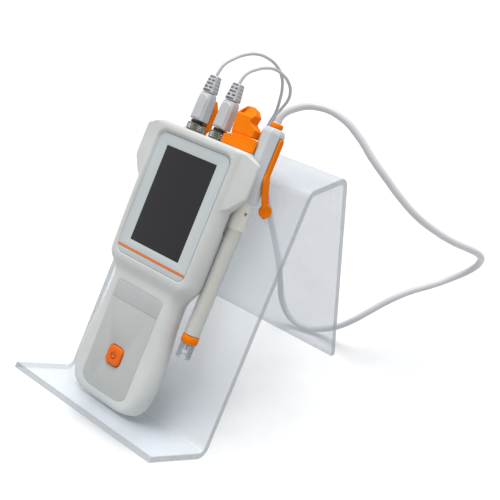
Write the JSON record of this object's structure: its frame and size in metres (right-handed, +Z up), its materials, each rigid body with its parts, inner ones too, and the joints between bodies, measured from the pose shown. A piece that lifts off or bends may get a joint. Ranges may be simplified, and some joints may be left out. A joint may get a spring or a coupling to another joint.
{
  "type": "portable water quality meter on a stand",
  "caption": "Handheld meter with a portrait screen, power key and two threaded cable plugs, a clipped probe with caged bulb and looped cable, resting on a bent clear stand.",
  "frame": {"origin": "centre of the bounding box of everything but the cords, at the table", "axes": "+X to the right of someone reading the screen, +Y away from them, +Z up; the screen faces up and towards -Y"},
  "size_m": [0.2369, 0.2732, 0.235],
  "materials": {
    "clear_acrylic": "clear, polished faces, satin cut edges",
    "shell_white": "fine matte moulded",
    "bezel_blue_grey": "satin film",
    "screen_dark": "glossy cover window",
    "accent_orange": "satin print",
    "panel_grey": "matte overlay film",
    "key_orange": "satin",
    "silicone_orange": "soft matte silicone",
    "boot_grey": "satin moulded PVC",
    "cable_grey": "satin PVC sheath",
    "nickel": "nickel plated, knurled",
    "dark_metal": "dark insulator and shadowed collar",
    "screw_steel": "zinc plated",
    "head_white": "satin moulded",
    "core_cream": "matte",
    "clear_plastic": "clear polycarbonate",
    "bulb_glass": "thin clear glass",
    "seal_black": "matte",
    "board_green": "solder mask",
    "cell_blue": "shrink film"
  },
  "bodies": {
    "meter_on_stand": {"accent_stripe": "accent_orange", "aux_socket": "seal_black", "battery_door": "shell_white", "battery_pack": "cell_blue", "buzzer": "seal_black", "cable_collar": "silicone_orange", "cable_splitter": "boot_grey", "case_screw_1": "screw_steel", "case_screw_2": "screw_steel", "case_screw_3": "screw_steel", "case_screw_4": "screw_steel", "case_seal": "seal_black", "clear_sleeve": "clear_plastic", "display_stand": "clear_acrylic", "door_screw_1": "screw_steel", "door_screw_2": "screw_steel", "electrode_head": "head_white", "front_shell": "shell_white", "glass_bulb": "bulb_glass", "inner_core": "core_cream", "keypad_panel": "panel_grey", "lcd_module": "seal_black", "main_board": "board_green", "name_plate": "panel_grey", "panel_socket_left": "nickel", "panel_socket_right": "nickel", "plug_boot_left": "boot_grey", "plug_boot_right": "boot_grey", "plug_collar_left": "dark_metal", "plug_collar_right": "dark_metal", "port_cover_base": "silicone_orange", "rear_shell": "shell_white", "screen_bezel": "bezel_blue_grey", "screen_glass": "screen_dark", "socket_nut_left": "nickel", "socket_nut_right": "nickel", "strain_relief_left": "boot_grey", "strain_relief_right": "boot_grey", "strap_inlay": "silicone_orange", "tact_switch": "dark_metal", "thick_cable": "cable_grey", "thin_cable_left": "cable_grey", "thin_cable_right": "cable_grey"},
    "power_key": {"power_button": "key_orange"},
    "ring_left": {"coupling_ring_left": "nickel"},
    "ring_right": {"coupling_ring_right": "nickel"},
    "port_cap": {"port_cover_cap": "silicone_orange"},
    "plug_cap": {"dust_cap_left": "silicone_orange"},
    "stopper_tail": {"stopper": "silicone_orange"},
    "bulb_guard": {"lower_ring": "silicone_orange", "guard_cage": "clear_plastic"}
  },
  "joints": [
    {"name": "power_press", "type": "slide", "parent": "meter_on_stand", "child": "power_key", "axis": [0, 0.829, -0.5592], "range_m": [0, 0.0009], "stiffness_N_per_m": 600},
    {"name": "coupling_left_turn", "type": "hinge", "parent": "meter_on_stand", "child": "ring_left", "pos_m": [-0.0275, 0.04893, 0.18969], "axis": [0, 0.5592, 0.829], "range_deg": [0, 90]},
    {"name": "coupling_right_turn", "type": "hinge", "parent": "meter_on_stand", "child": "ring_right", "pos_m": [-0.005, 0.04893, 0.18969], "axis": [0, 0.5592, 0.829], "range_deg": [0, 90]},
    {"name": "port_cap_open", "type": "hinge", "parent": "meter_on_stand", "child": "port_cap", "pos_m": [0.0179, 0.04776, 0.19905], "axis": [1, 0, 0], "range_deg": [0, 95], "stiffness_Nm_per_rad": 0.01},
    {"name": "plug_cap_fold", "type": "hinge", "parent": "meter_on_stand", "child": "plug_cap", "pos_m": [-0.0311, 0.05936, 0.17904], "axis": [-1, 0, 0], "range_deg": [0, 60], "stiffness_Nm_per_rad": 0.02},
    {"name": "stopper_swing", "type": "hinge", "parent": "meter_on_stand", "child": "stopper_tail", "pos_m": [0.04675, 0.04368, 0.17707], "axis": [0, -1, 0], "range_deg": [0, 70]},
    {"name": "guard_pull", "type": "slide", "parent": "meter_on_stand", "child": "bulb_guard", "axis": [0, -0.5592, -0.829], "range_m": [0, 0.016]}
  ]
}
